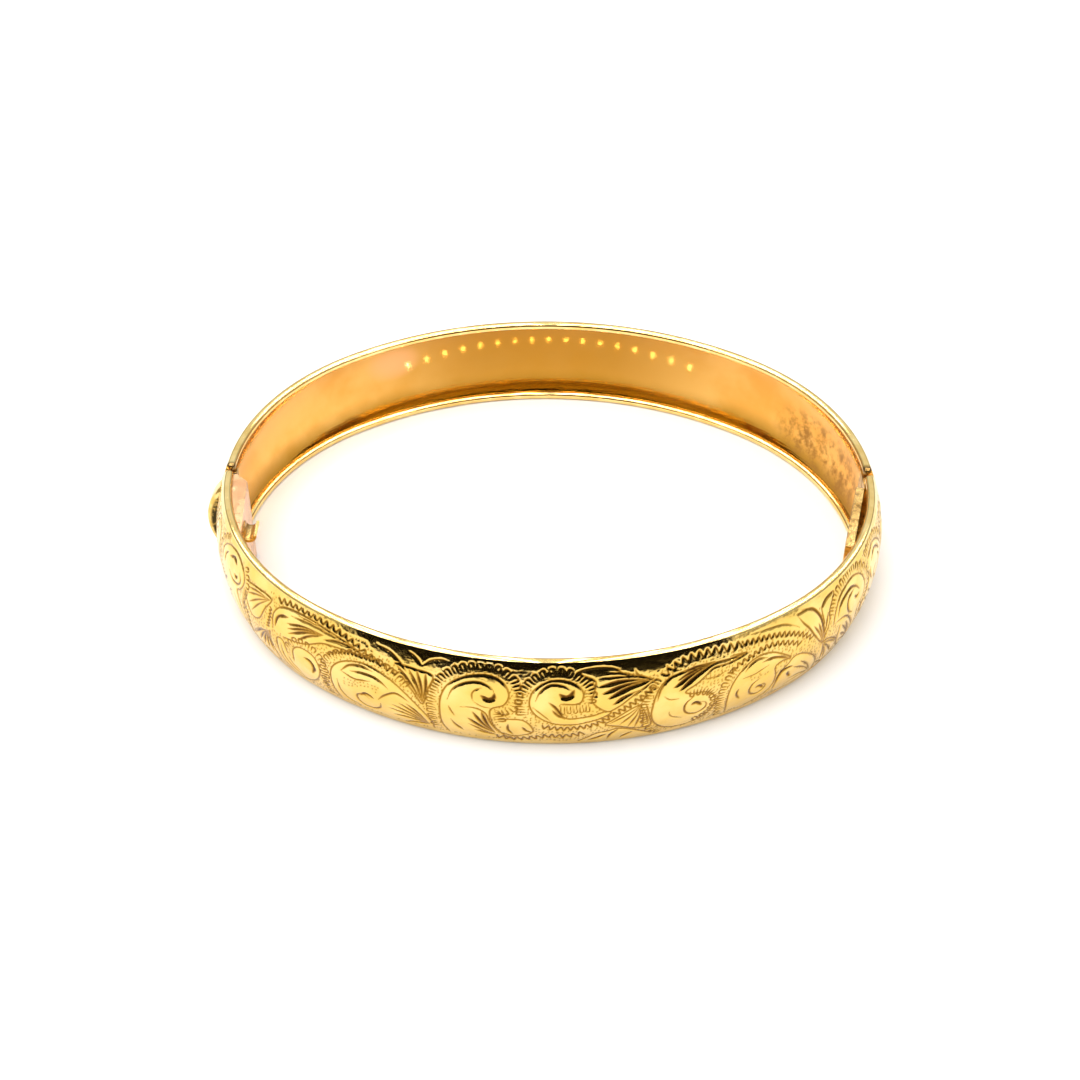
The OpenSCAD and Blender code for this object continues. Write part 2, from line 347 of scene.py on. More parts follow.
def sheet_grid(columns, rows, radius, side, clasp_end, hollow=None):
    """A grid of points on one face of a domed half; hollow is how far each point is cut in."""
    turn = np.linspace(-dome_turn, dome_turn, rows + 1)[:, None]
    run = np.linspace(-half_run, half_run, columns + 1)[None, :]
    deep = np.zeros((rows + 1, columns + 1)) if hollow is None else hollow
    offset = dome_centre + radius * np.cos(turn)
    height = mid_height + radius * np.sin(turn)
    for hand, end in ((-1, clasp_end), (1, hinge_end)):
        stop = run_at(end(offset, height), offset)
        start_run = half_run - END_STRETCH
        stretch = (stop - start_run) / END_STRETCH
        run = np.where(hand * run > start_run, hand * (start_run + (hand * run - start_run) * stretch), run)
    x, y, nx, ny = oval(run, side)
    offset = offset - deep * np.cos(turn)
    height = height - deep * np.sin(turn) + 0 * run
    return np.stack([x + nx * offset, y + ny * offset, height], -1)


def closed_sheet(name, outer, inner, material, side):
    """One closed mesh from an outer grid and an inner grid that is coarser by a whole number."""
    rows, columns = (n - 1 for n in outer.shape[:2])
    few_rows, few_columns = (n - 1 for n in inner.shape[:2])
    step = columns // few_columns
    outer_id = np.arange((rows + 1) * (columns + 1)).reshape(rows + 1, columns + 1)
    inner_id = outer_id.size + np.arange((few_rows + 1) * (few_columns + 1)).reshape(few_rows + 1, -1)

    def quads(ids):
        return np.stack([ids[:-1, :-1], ids[:-1, 1:], ids[1:, 1:], ids[1:, :-1]], -1).reshape(-1, 4)

    facing = 1 if side < 0 else -1
    faces = quads(outer_id)[:, ::facing].tolist() + quads(inner_id)[:, ::-facing].tolist()
    for outer_edge, inner_edge, turn in ((outer_id[0], inner_id[0], -1), (outer_id[-1], inner_id[-1], 1),
                                         (outer_id[:, 0], inner_id[:, 0], 1),
                                         (outer_id[:, -1], inner_id[:, -1], -1)):
        for k in range(len(inner_edge) - 1):
            wall = outer_edge[k * step:(k + 1) * step + 1].tolist() + [inner_edge[k + 1], inner_edge[k]]
            faces.append([int(i) for i in wall[::turn * facing]])
    verts = np.concatenate([outer.reshape(-1, 3), inner.reshape(-1, 3)])
    piece = new_piece(name, verts.tolist(), faces, material)
    piece.data.set_sharp_from_angle(angle=radians(65))
    inside = piece.data.attributes.new("inside", "FLOAT", "POINT")
    inside.data.foreach_set("value", np.r_[np.zeros(outer_id.size), np.ones(inner_id.size)])
    return piece


# The engraver's marks are laid out on the sheet before it is bent: across is the distance from the
# middle of the half, towards the hinge, and up is the distance from the foot of the engraved field,
# round the dome.
FIELD = 9.6
field_foot = (dome_run - FIELD) / 2
COLUMNS, ROWS = 912, 96
STROKE_STEP = 0.035
marks = []


def smooth_line(points, step=STROKE_STEP):
    """Points at an even step on a smooth curve through a few points."""
    p = np.array(points, float)
    p = np.vstack([2 * p[0] - p[1], p, 2 * p[-1] - p[-2]])
    t = np.linspace(0, 1, 24, endpoint=False)[:, None]
    parts = [0.5 * (2 * b + (c - a) * t + (2 * a - 5 * b + 4 * c - d) * t ** 2
                    + (3 * b - a - 3 * c + d) * t ** 3)
             for a, b, c, d in zip(p[:-3], p[1:-2], p[2:-1], p[3:])]
    line = np.vstack(parts + [p[-2:-1]])
    run = np.r_[0, np.cumsum(np.linalg.norm(np.diff(line, axis=0), axis=1))]
    count = max(2, int(run[-1] / step) + 1)
    even = np.linspace(0, run[-1], count)
    return np.stack([np.interp(even, run, line[:, 0]), np.interp(even, run, line[:, 1])], -1)


def cut(points, width=0.2, deep=0.07, lead=0.3, tail=0.3):
    """One graver cut, which widens over its lead and runs out over its tail."""
    line = smooth_line(points)
    t = np.linspace(0, 1, len(line))
    swell = np.minimum(1, (t + 0.02) / lead) * np.minimum(1, (1.02 - t) / tail)
    swell = np.sqrt(np.clip(swell, 0.05, 1))
    marks.append(np.column_stack([line, np.maximum(width / 2 * swell, 0.07), deep * swell]))


def side_step(line):
    """The unit normals along a line, to its left."""
    along = np.gradient(line, axis=0)
    along /= np.linalg.norm(along, axis=1)[:, None] + 1e-9
    return np.stack([-along[:, 1], along[:, 0]], -1)


rocked_lines = []


def wriggle(points, swing=0.45, pitch=0.5, width=0.26, deep=0.1):
    """A zigzag made by rocking a flat graver along a line."""
    line = smooth_line(points, pitch / 2)
    rocked_lines.append(line)
    hand = np.where(np.arange(len(line)) % 2 == 0, 0.5, -0.5)[:, None]
    corners = line + side_step(line) * hand * swing
    for first, second in zip(corners[:-1], corners[1:]):
        cut([first, second], width, deep, lead=0.2, tail=0.2)


def teeth(points, length=0.55, pitch=0.33, width=0.24, deep=0.095):
    """A row of small arches that stand out to the left of a line."""
    line = smooth_line(points, pitch)
    out = line + side_step(line) * length
    rocked_lines.append((line + out) / 2)
    for k in range(0, len(line) - 1, 2):
        cut([line[k], out[k], out[k + 1], line[k + 1]], width, deep, lead=0.2, tail=0.2)


def fan(tip, ends, width=0.28, deep=0.09, bend=0.12):
    """Shading cuts of a leaf that run together into its tip."""
    tip = np.array(tip, float)
    for end in ends:
        end = np.array(end, float)
        across = tip - end
        middle = (tip + end) / 2 + bend * np.array([-across[1], across[0]])
        cut([end, middle, tip], width, deep, lead=0.35, tail=0.8)


def spiral(centre, outer, inner, start, turn, points=9):
    """Points that wind in from an outer radius to an inner one; angles in degrees."""
    t = np.linspace(0, 1, points)
    angle = np.radians(start + turn * t)
    radius = outer + (inner - outer) * t
    return np.stack([centre[0] + radius * np.cos(angle), centre[1] + radius * np.sin(angle)], -1)


bright_areas = []
matted_pockets = []


def plain(points):
    """An area left bright and flat."""
    bright_areas.append(smooth_line(points, 0.1))


def body(points, width=0.25, deep=0.08):
    """A scroll or a leaf: cut round, and left bright inside."""
    cut(points, width, deep, lead=0.04, tail=0.04)
    plain(points)


def pocket(points):
    """A small matted area inside a scroll."""
    matted_pockets.append(smooth_line(points, 0.1))


# Middle of the band: a large scroll with a leaf curled under it
body([(-8.6, 0.5), (-9.1, 2.0), (-9.2, 4.0), (-9.0, 5.8), (-8.3, 7.2), (-6.8, 8.2), (-5.0, 8.5),
      (-3.8, 7.9), (-3.3, 6.7), (-3.7, 5.6), (-4.7, 5.05), (-4.9, 4.3), (-4.6, 2.8), (-3.9, 1.5),
      (-3.2, 0.6)])
teeth([(-9.4, 1.4), (-9.6, 4.0), (-9.4, 5.8), (-8.6, 7.5), (-7.0, 8.6), (-5.0, 8.85), (-3.4, 8.2),
       (-2.9, 6.7), (-3.3, 5.4), (-4.5, 4.7), (-4.3, 3.4)], 0.68, 0.33)
cut([(-8.5, 5.4), (-8.0, 6.7), (-7.0, 7.5), (-5.8, 7.75), (-4.8, 7.3), (-4.45, 6.6)], 0.26, 0.09)
cut([(-4.5, 6.75), (-4.6, 6.2), (-5.1, 6.0), (-5.65, 6.4)], 0.6, 0.15)
cut([(-6.3, 5.7), (-6.4, 6.4), (-6.1, 6.9), (-5.6, 7.2)], 0.24, 0.08)
cut([(-6.2, 5.6), (-5.6, 5.2), (-4.9, 5.1)], 0.2)
cut([(-7.4, 4.8), (-6.2, 4.9), (-5.3, 4.4), (-4.85, 3.1), (-4.2, 1.6)], 0.26, 0.09)
fan((-4.5, 1.6), [(-6.35, 4.4), (-6.8, 3.5), (-5.6, 4.5)], 0.55, 0.15, -0.05)
fan((-4.2, 1.2), [(-6.8, 2.7), (-6.3, 1.8)], 0.36, 0.11, -0.05)
cut([(-8.4, 4.7), (-8.2, 4.1), (-7.9, 3.5)], 0.24, 0.08)
cut([(-8.3, 3.0), (-7.9, 2.1), (-7.3, 1.4)], 0.4, 0.12, lead=0.8)
body([(-4.2, 3.7), (-3.0, 3.9), (-2.1, 3.8), (-1.5, 3.1), (-1.3, 2.2), (-2.0, 1.6), (-3.0, 1.3),
      (-3.9, 1.7)])
cut([(-2.2, 2.9), (-1.9, 2.3), (-1.4, 2.1)], 0.34, 0.11)
cut([(-3.4, 3.2), (-3.4, 2.3), (-3.0, 1.6)], 0.34, 0.11)

# A smaller scroll to the right of it, whose stem runs on under a long leaf
body([(1.0, 5.9), (2.2, 5.85), (2.75, 6.2), (2.8, 7.2), (2.0, 8.05), (0.8, 8.35), (-0.3, 8.1),
      (-1.3, 7.2), (-1.6, 5.8), (-1.0, 4.5), (0.4, 3.5), (2.2, 3.3), (4.2, 3.9), (5.2, 4.6),
      (4.6, 4.75), (3.6, 4.35), (2.0, 4.1), (1.3, 4.3), (0.7, 5.2)])
teeth([(-1.9, 4.6), (-2.0, 6.2), (-1.5, 7.6), (-0.4, 8.5), (0.8, 8.75), (2.2, 8.35), (3.15, 7.2),
       (3.1, 6.0)], 0.68, 0.32)
cut([(-1.1, 6.2), (-0.7, 7.2), (0.1, 7.9), (1.2, 7.8), (1.9, 7.3)], 0.26, 0.09)
cut([(0.85, 7.0), (1.3, 6.6), (1.8, 6.75), (2.1, 7.35)], 0.6, 0.15)
cut([(-1.3, 5.5), (-0.5, 4.6), (0.2, 3.8)], 0.22, 0.08)
cut([(0.0, 6.1), (0.6, 5.4), (1.3, 4.1)], 0.4, 0.12)
cut([(0.3, 5.2), (0.7, 4.6), (1.2, 4.2)], 0.34, 0.11)
teeth([(3.3, 5.8), (1.0, 5.6)], 0.8, 0.24, 0.16)
wriggle([(-4.5, 0.9), (-3.0, 0.7), (-1.5, 1.0), (0.0, 1.5), (1.5, 1.4), (3.0, 1.9)], 0.8, 0.6)
wriggle([(-0.6, 3.0), (1.0, 2.7), (2.6, 2.8), (4.0, 3.2), (5.2, 4.1), (6.6, 5.1), (8.0, 6.1),
         (8.8, 6.9)], 0.7, 0.55)

# The long leaf over the middle, and the fans of cuts below it
body([(8.9, 7.6), (7.2, 6.4), (5.8, 5.2), (4.8, 4.8), (3.6, 6.0), (3.8, 7.2), (3.8, 8.2), (2.4, 9.0),
      (3.8, 9.35), (5.4, 9.2), (6.4, 8.5), (8.2, 7.9), (8.9, 7.6)])
fan((8.7, 7.6), [(4.2, 7.6), (4.4, 6.8), (4.9, 6.25)], 0.6, 0.15, 0.06)
fan((7.6, 6.8), [(5.3, 5.5)], 0.46, 0.13, 0.06)
fan((8.6, 7.7), [(4.4, 8.4), (4.8, 8.9)], 0.3, 0.09, 0.05)
cut([(7.2, 8.9), (7.5, 8.3), (8.4, 7.9)], 0.28, 0.09)
body([(7.8, 5.2), (6.8, 4.7), (5.4, 3.6), (4.8, 3.0), (6.0, 2.5), (7.4, 1.9), (8.7, 2.0), (8.5, 3.5),
      (8.2, 4.9)])
fan((7.7, 5.1), [(5.1, 3.1), (6.0, 2.8), (6.7, 2.3), (7.3, 2.0), (8.0, 2.0), (8.5, 2.3)], 0.32, 0.1,
    -0.04)
body([(2.6, 0.3), (4.0, 1.6), (5.0, 1.9), (5.9, 2.2), (7.2, 1.7), (8.4, 0.9), (9.0, 0.4)])
cut([(5.9, 2.1), (5.3, 1.2), (5.1, 0.4)], 0.34, 0.11)
cut([(4.9, 1.4), (4.2, 0.8), (3.4, 0.4)], 0.46, 0.13)
cut([(7.2, 1.3), (6.5, 0.7), (6.2, 0.4)], 0.4, 0.12)

# The scroll to its right, with a leaf in its crown and a small curl inside
body([(14.3, 8.0), (12.5, 7.95), (10.9, 7.7), (9.9, 7.3), (9.2, 6.4), (8.8, 5.0), (8.7, 3.4),
      (9.2, 2.0), (10.4, 0.9), (12.0, 0.7), (13.6, 1.4), (14.4, 2.8), (14.3, 4.2), (13.4, 5.0),
      (12.2, 5.2), (11.6, 5.6), (12.6, 6.2), (13.4, 6.8), (14.2, 7.4), (15.6, 7.4), (17.4, 7.8),
      (15.8, 8.0)])
teeth([(9.9, 0.6), (8.8, 1.9), (8.35, 3.4), (8.4, 5.0), (8.8, 6.2), (9.5, 7.3)], 0.57, 0.32)
fan((14.3, 7.9), [(11.3, 7.65), (10.9, 7.05), (10.5, 6.35), (11.0, 5.85)], 0.56, 0.15, 0.05)
cut([(13.4, 7.4), (14.3, 7.8), (15.8, 7.75), (17.4, 7.8)], 0.36, 0.1)
cut([(10.8, 7.7), (10.0, 7.3), (9.4, 6.4), (9.1, 5.2)], 0.3, 0.09)
cut([(13.2, 6.5), (14.4, 6.4), (15.4, 6.7)], 0.2)
teeth([(14.6, 4.4), (14.0, 5.2), (12.9, 5.6), (12.0, 5.6)], 0.68, 0.32)
cut([(9.7, 5.6), (10.2, 5.1), (11.0, 5.0)], 0.2)
cut([(10.2, 3.6), (10.5, 2.8), (11.5, 2.2)], 0.2)
cut(spiral((12.9, 3.4), 1.5, 0.5, 110, 330, 12), 0.3, 0.1, lead=0.2)
cut([(12.2, 3.8), (12.7, 3.9), (13.2, 3.4)], 0.5, 0.13)
teeth([(14.8, 4.4), (14.8, 2.8), (14.1, 1.5), (13.0, 0.8)][::-1], 0.74, 0.34)

# Two rocked lines run over the next scroll towards the hinge
wriggle([(9.6, 7.8), (10.6, 8.5), (11.6, 8.9), (13.2, 9.05), (15.0, 8.95), (17.0, 8.8)], 0.8, 0.72)
wriggle([(17.0, 8.8), (18.8, 8.6), (20.6, 8.25), (22.0, 7.75), (23.4, 7.0), (24.6, 5.9)], 0.55, 0.55)
wriggle([(15.6, 6.2), (16.4, 6.8), (17.6, 7.2), (19.0, 7.55), (20.4, 7.45), (21.8, 6.9), (23.2, 6.1)],
        0.55, 0.58)
plain([(5.6, 9.7), (6.8, 8.5), (8.8, 8.1), (10.0, 8.6), (11.2, 9.3), (13.0, 9.7)])
plain([(12.5, 9.7), (14.6, 9.4), (17.0, 9.35), (19.0, 9.0), (20.8, 8.6), (22.4, 8.1), (23.6, 7.4),
       (26.0, 8.6), (28.0, 9.7)])
cut([(18.0, 9.35), (20.4, 9.15), (21.6, 8.9), (22.6, 8.3), (23.1, 7.9)], 0.2)
body([(15.9, 1.0), (15.7, 3.0), (16.0, 4.8), (17.0, 6.2), (18.4, 6.9), (19.8, 6.8), (21.0, 6.1),
      (22.1, 5.1), (21.0, 5.2), (20.4, 4.8), (20.6, 3.6), (20.4, 2.2), (19.4, 1.2), (18.0, 0.7)])
teeth([(15.5, 0.8), (15.3, 3.0), (15.6, 5.0), (16.6, 6.5)], 0.61, 0.32)
cut([(17.2, 5.8), (17.8, 6.4), (18.6, 6.65), (19.5, 6.4)], 0.3, 0.09)
cut([(18.9, 6.1), (20.0, 6.1), (21.0, 5.7), (21.9, 5.1)], 0.36, 0.11)
cut([(17.0, 5.1), (18.2, 5.1), (19.6, 5.5)], 0.22)
cut([(16.7, 4.0), (16.6, 3.2), (17.0, 2.4)], 0.34, 0.11)
pocket([(17.4, 4.8), (18.8, 4.9), (20.0, 4.7), (19.2, 4.3), (18.0, 4.3)])
cut(spiral((19.0, 3.0), 1.3, 0.4, 100, 330, 11), 0.3, 0.1, lead=0.2)
cut([(18.5, 3.2), (19.0, 3.15), (19.4, 2.7)], 0.44, 0.12)
body([(20.8, 1.6), (21.0, 3.6), (21.9, 4.4), (22.4, 4.9), (23.2, 4.9), (24.2, 4.3), (25.3, 3.2),
      (25.8, 2.0), (25.6, 0.6), (23.5, 0.5), (21.6, 0.7)])
cut([(20.9, 2.4), (21.0, 3.2), (21.5, 3.8), (22.5, 3.8)], 0.5, 0.14)
cut([(22.0, 3.3), (22.2, 2.8), (22.5, 2.3)], 0.44, 0.12)
fan((25.4, 1.0), [(22.6, 3.6), (23.4, 3.9), (22.4, 2.0), (22.2, 1.2)], 0.3, 0.1, 0.06)

# The spray of leaves where the stems cross
body([(23.0, 9.2), (24.8, 9.0), (25.7, 7.8), (26.1, 6.4), (26.2, 4.7), (25.7, 4.8), (24.8, 6.2),
      (24.0, 7.6)])
body([(26.2, 4.9), (26.9, 6.4), (27.0, 7.6), (27.9, 9.0), (26.7, 8.9), (26.0, 8.3), (26.2, 6.5)])
cut([(23.6, 9.4), (24.8, 8.9), (25.6, 7.8), (26.0, 6.4), (26.0, 4.8)], 0.36, 0.11)
cut([(23.1, 9.0), (23.6, 8.1), (24.3, 7.1), (25.0, 5.8), (25.6, 4.9)], 0.3, 0.1)
fan((25.9, 4.8), [(24.8, 7.1), (25.4, 7.1), (26.7, 7.5)], 0.36, 0.11, 0.04)
cut([(26.0, 8.3), (26.7, 8.9), (27.9, 9.1)], 0.36, 0.1)
body([(25.9, 4.5), (27.2, 4.2), (28.5, 3.0), (28.2, 1.8), (27.2, 1.0), (26.2, 1.6)])
fan((26.0, 4.4), [(26.6, 1.5), (27.2, 1.3), (27.9, 2.0), (28.3, 3.0)], 0.34, 0.11, -0.05)

# The last full scroll before the hinge
body([(27.5, 5.6), (27.8, 6.8), (28.6, 8.0), (29.8, 8.5), (31.2, 8.6), (32.6, 7.8), (33.2, 6.4),
      (32.8, 5.2), (31.8, 4.6), (31.8, 3.0), (31.8, 1.2), (30.6, 0.8), (29.2, 1.6), (28.6, 3.2),
      (28.6, 4.8)])
teeth([(27.4, 6.8), (28.3, 8.3), (29.8, 8.9), (31.4, 8.95), (33.0, 8.0), (33.6, 6.4), (33.2, 5.0),
       (32.2, 4.2), (32.2, 2.0)], 0.61, 0.34)
cut([(28.1, 6.0), (28.6, 7.1), (29.5, 7.6), (30.5, 7.75), (31.4, 7.3), (32.0, 6.6)], 0.4, 0.12)
cut([(30.9, 7.3), (30.1, 7.0), (29.8, 6.3), (30.0, 5.4), (30.6, 4.9)], 0.42, 0.12)
cut([(31.0, 6.5), (31.4, 6.1), (31.9, 6.3)], 0.36, 0.11)
cut([(27.5, 5.6), (28.5, 5.5), (29.5, 5.2), (30.4, 4.3), (31.2, 2.8), (31.4, 1.2)], 0.3, 0.1)
fan((31.2, 1.0), [(29.0, 4.5), (29.6, 4.5), (29.0, 3.4), (29.1, 2.4)], 0.36, 0.11, 0.05)
wriggle([(25.6, 0.5), (27.4, 0.6), (29.0, 0.6), (31.0, 0.5), (33.0, 0.6)], 0.4, 0.5)

# The end by the hinge
body([(34.5, 8.2), (36.2, 8.7), (37.8, 8.0), (38.7, 6.6), (38.6, 4.8), (38.0, 3.4), (37.4, 2.2),
      (37.0, 0.8), (34.6, 1.0), (33.2, 2.8), (33.0, 4.4), (34.2, 5.4), (34.5, 6.8)])
teeth([(34.1, 8.6), (36.2, 9.0), (38.0, 8.3), (39.0, 6.6), (39.0, 4.6), (38.2, 2.6)], 0.57, 0.34)
cut([(35.2, 7.4), (36.2, 7.95), (37.2, 7.6), (38.0, 6.8)], 0.36, 0.11)
cut([(34.9, 7.0), (34.8, 6.2), (35.2, 5.4)], 0.36, 0.11)
cut(spiral((36.6, 5.6), 1.4, 0.4, 60, -330, 11), 0.3, 0.1, lead=0.2)
fan((36.8, 1.0), [(33.5, 4.2), (33.8, 3.2), (34.2, 2.2), (34.8, 1.5)], 0.4, 0.12, 0.06)
cut([(34.2, 4.8), (35.2, 3.8), (36.3, 2.6), (36.9, 1.0)], 0.22)
body([(39.0, 1.4), (39.4, 3.2), (40.4, 4.6), (40.2, 6.4), (40.6, 7.6), (41.6, 7.9), (42.6, 7.2),
      (42.9, 5.6), (42.6, 3.6), (42.8, 1.2), (41.0, 1.0)])
cut(spiral((41.5, 6.4), 1.0, 0.3, 200, -330, 10), 0.28, 0.09, lead=0.2)
teeth([(39.9, 7.0), (40.4, 8.1), (41.8, 8.3), (43.0, 7.4), (43.3, 5.4), (43.0, 3.0)], 0.54, 0.34)
fan((42.3, 1.4), [(39.6, 2.2), (40.2, 3.2), (41.2, 3.8), (42.2, 3.8)], 0.36, 0.11, -0.06)

# Left of the middle: a spray of leaves on a bright field
plain([(-16.2, 9.7), (-15.4, 8.5), (-13.4, 7.95), (-10.0, 7.8), (-8.9, 8.1), (-7.4, 9.3), (-5.0, 9.7)])
cut([(-15.0, 9.2), (-13.6, 8.8), (-12.6, 8.0), (-12.1, 7.4)], 0.34, 0.1)
cut([(-12.1, 9.4), (-11.4, 9.0), (-10.8, 8.4)], 0.3, 0.09)
cut([(-10.7, 8.4), (-10.0, 9.0), (-9.2, 9.25), (-8.4, 9.25)], 0.28, 0.09)
body([(-13.2, 8.0), (-11.5, 7.9), (-9.8, 7.6), (-10.2, 6.0), (-10.7, 4.2), (-11.5, 5.4), (-12.5, 6.8)])
fan((-10.7, 4.4), [(-13.0, 7.8), (-11.9, 7.7), (-11.2, 7.8), (-10.4, 7.7)], 0.5, 0.14, 0.05)

# The large scroll on the left, with a curl and a leaf inside it
body([(-19.2, 0.6), (-19.6, 2.6), (-19.4, 4.8), (-18.2, 6.2), (-16.2, 6.85), (-14.4, 6.5), (-12.8, 5.5),
      (-11.2, 3.8), (-10.1, 1.9), (-10.0, 0.6)])
teeth([(-19.7, 0.8), (-20.1, 3.0), (-19.8, 5.2), (-18.4, 6.7), (-16.0, 7.3), (-13.9, 6.9),
       (-12.2, 5.7)], 0.57, 0.34)
cut([(-18.4, 5.1), (-17.5, 6.1), (-16.3, 6.5), (-15.2, 6.3)], 0.34, 0.1)
cut([(-17.4, 5.5), (-16.3, 5.75), (-15.2, 5.75), (-14.4, 5.4), (-13.8, 4.9)], 0.36, 0.11)
cut([(-18.4, 5.1), (-17.2, 4.7), (-16.2, 4.9), (-15.5, 5.1)], 0.3, 0.09)
cut([(-18.9, 3.8), (-18.8, 2.2), (-18.1, 1.1), (-16.9, 0.7)], 0.26, 0.08)
pocket([(-18.2, 4.3), (-16.6, 4.6), (-14.9, 4.8), (-14.8, 3.9), (-16.2, 4.0), (-17.6, 3.4),
        (-18.3, 3.2)])
cut(spiral((-16.2, 2.3), 1.5, 0.5, 10, -330, 12), 0.3, 0.1, lead=0.2)
cut([(-16.7, 2.7), (-16.1, 3.2), (-15.3, 2.9)], 0.44, 0.12)
cut([(-14.9, 3.0), (-14.2, 3.9), (-13.1, 4.6), (-11.9, 4.0)], 0.34, 0.1)
fan((-10.3, 1.2), [(-14.0, 2.3), (-13.6, 3.0), (-12.9, 3.5), (-12.2, 3.7), (-13.6, 1.4)], 0.4, 0.12,
    0.05)
cut([(-12.6, 0.5), (-11.8, 0.9), (-10.4, 1.2)], 0.34, 0.1)

# Two rocked lines and the long stem that they follow
wriggle([(-25.8, 8.9), (-24.2, 9.25), (-22.4, 9.3), (-20.6, 9.25), (-19.0, 9.05), (-17.4, 8.6),
         (-16.0, 8.0), (-14.6, 7.5), (-12.8, 6.9)], 0.65, 0.7)
wriggle([(-19.8, 6.2), (-18.6, 7.1), (-17.0, 7.5), (-15.4, 7.5)], 0.4, 0.45)
cut([(-20.2, 7.6), (-19.0, 7.95), (-17.6, 8.0), (-16.6, 7.7)], 0.36, 0.1)
cut([(-20.6, 8.3), (-19.6, 8.35), (-18.6, 8.2)], 0.24)

# The large leaf head, with an oval scroll under it
body([(-26.2, 5.6), (-26.2, 7.2), (-25.3, 8.4), (-23.6, 8.85), (-21.6, 8.85), (-19.6, 8.6),
      (-17.6, 8.2), (-16.4, 7.6), (-18.8, 7.4), (-20.4, 7.1), (-22.0, 6.2), (-23.4, 5.7), (-24.9, 5.4)])
cut([(-25.9, 6.0), (-25.7, 7.0), (-25.1, 7.6), (-24.3, 7.85)], 0.42, 0.12)
fan((-20.3, 8.0), [(-24.4, 7.2), (-24.3, 6.7), (-24.2, 6.2), (-23.2, 6.0)], 0.42, 0.13, 0.05)
fan((-19.8, 8.4), [(-24.0, 8.2), (-23.2, 8.6)], 0.28, 0.09, 0.03)
body([(-23.9, 3.0), (-23.8, 4.4), (-23.2, 5.2), (-22.2, 5.4), (-21.2, 5.0), (-20.8, 3.8), (-21.2, 2.4),
      (-22.2, 1.2), (-23.6, 0.6), (-24.8, 0.9), (-25.7, 2.6), (-25.8, 4.6), (-25.0, 4.9), (-24.6, 3.6)])
teeth([(-24.2, 4.4), (-23.4, 5.5), (-22.2, 5.8), (-20.9, 5.3), (-20.4, 3.8), (-20.8, 2.0)], 0.54, 0.32)
cut([(-22.5, 4.4), (-21.8, 4.2), (-21.5, 3.5), (-21.8, 2.7)], 0.54, 0.14)
cut([(-25.3, 4.4), (-25.2, 2.8), (-24.3, 1.5), (-23.0, 1.0)], 0.28, 0.09)
cut([(-24.6, 3.4), (-24.3, 2.4), (-23.4, 1.6)], 0.24)

# A spray of stalks between the leaf head and the end scroll
body([(-30.6, 8.0), (-28.6, 8.4), (-26.7, 8.4), (-27.4, 7.0), (-28.2, 5.4), (-29.4, 4.8), (-30.2, 5.8),
      (-30.8, 7.0)])
fan((-26.9, 8.2), [(-30.3, 6.9), (-29.8, 6.2), (-29.4, 5.5), (-30.2, 7.6)], 0.34, 0.1, 0.04)
plain([(-31.2, 9.7), (-30.6, 8.5), (-27.8, 8.7), (-26.2, 9.2), (-25.0, 9.7)])
wriggle([(-27.0, 5.2), (-26.7, 6.4), (-26.6, 7.6)], 0.4, 0.4)
body([(-26.7, 5.0), (-26.8, 3.6), (-26.4, 1.2), (-27.6, 0.6), (-29.4, 0.8), (-29.9, 2.2), (-29.2, 3.2),
      (-28.0, 4.3)])
fan((-26.9, 4.8), [(-26.9, 2.0), (-27.6, 2.0), (-28.3, 2.0), (-28.9, 2.2), (-29.5, 2.6)], 0.44, 0.14,
    0.05)
fan((-26.8, 1.0), [(-29.2, 1.7), (-28.8, 1.1)], 0.3, 0.1, 0.04)
wriggle([(-31.0, 5.4), (-30.4, 4.4), (-30.4, 3.0), (-30.6, 1.4)], 0.5, 0.5)

# The oval scroll at the clasp end
body([(-36.4, 6.2), (-36.2, 7.8), (-35.0, 8.8), (-33.2, 9.2), (-31.6, 8.6), (-31.0, 7.4), (-31.6, 6.2),
      (-32.3, 5.6), (-31.9, 4.2), (-31.6, 2.4), (-32.6, 1.0), (-34.6, 0.6), (-37.4, 0.9), (-38.0, 2.6),
      (-36.8, 3.6), (-35.6, 4.8)])
teeth([(-36.0, 4.8), (-36.8, 6.0), (-36.6, 7.9), (-35.2, 9.1)], 0.61, 0.34)
teeth([(-31.3, 8.9), (-30.7, 7.4), (-31.2, 6.0), (-31.5, 4.4), (-31.2, 2.4)], 0.54, 0.34)
cut([(-34.4, 8.0), (-33.4, 8.45), (-32.7, 8.1)], 0.44, 0.12)
cut([(-35.6, 6.4), (-35.5, 7.4), (-34.9, 8.1)], 0.3, 0.1)
cut([(-32.0, 7.8), (-31.7, 7.0), (-32.3, 6.3), (-33.4, 6.1), (-34.2, 6.6)], 0.34, 0.1)
cut([(-33.0, 7.0), (-32.6, 6.8), (-32.4, 7.2)], 0.4, 0.12)
cut([(-35.0, 5.1), (-36.0, 4.2), (-37.2, 3.2)], 0.56, 0.15)
fan((-37.4, 1.2), [(-33.8, 4.4), (-34.2, 3.4), (-34.6, 2.4), (-35.0, 1.5)], 0.4, 0.12, -0.05)
cut([(-33.2, 4.6), (-32.4, 3.6), (-32.3, 2.2), (-33.1, 1.2)], 0.26, 0.08)
body([(-41.9, 1.4), (-42.0, 3.8), (-41.0, 5.0), (-41.4, 6.8), (-40.6, 8.4), (-39.4, 8.8), (-38.4, 8.3),
      (-37.9, 7.0), (-38.4, 5.0), (-38.5, 3.0), (-38.4, 1.2)])
cut([(-40.9, 7.2), (-40.3, 8.0), (-39.4, 8.3), (-38.7, 7.8)], 0.36, 0.11)
cut(spiral((-39.7, 6.2), 1.2, 0.4, 40, 330, 10), 0.3, 0.1, lead=0.2)
teeth([(-42.4, 2.0), (-42.4, 4.0), (-41.6, 5.2), (-41.9, 6.9), (-40.9, 8.7)], 0.54, 0.34)
